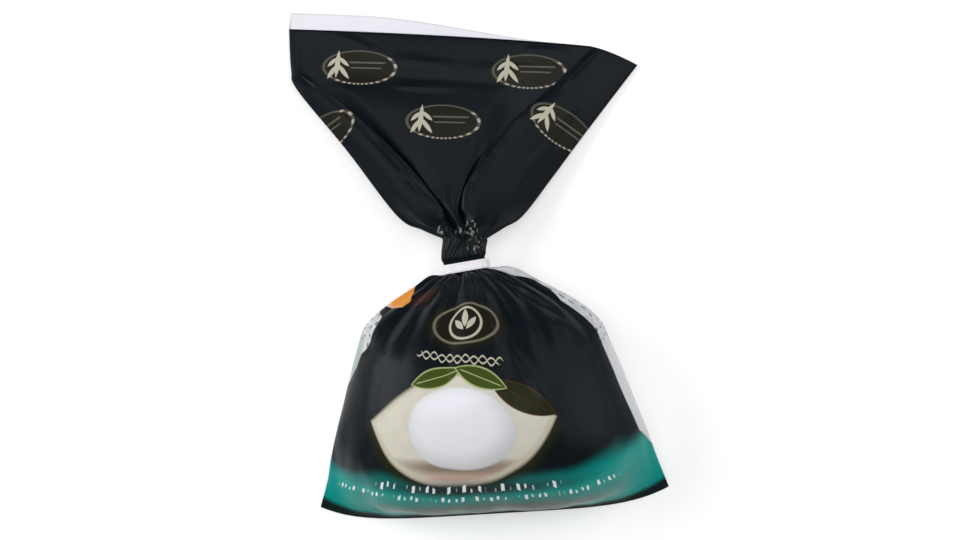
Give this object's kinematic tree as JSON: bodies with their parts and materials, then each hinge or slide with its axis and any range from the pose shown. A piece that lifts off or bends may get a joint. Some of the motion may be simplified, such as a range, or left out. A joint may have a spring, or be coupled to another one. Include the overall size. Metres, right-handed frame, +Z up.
{
  "type": "tied film food pouch",
  "caption": "Filled satin film pouch lying on its back: domed body with a flat bottom seam, pleated shoulders, a gathered neck held by a plastic band, and the open mouth spread as a fan.",
  "frame": {"origin": "on the floor, under the middle of the bounding box of the pouch lying on its back", "axes": "+Y from the sealed bottom to the open mouth, +Z up out of the shown front panel, +X to the right of the shown side"},
  "size_m": [0.1746, 0.2326, 0.057],
  "materials": {
    "film": "satin printed film, near black running to teal at the sealed end, white inside",
    "band": "moulded white plastic, satin"
  },
  "bodies": {
    "root": {"bag": "film", "band": "band"}
  },
  "joints": []
}
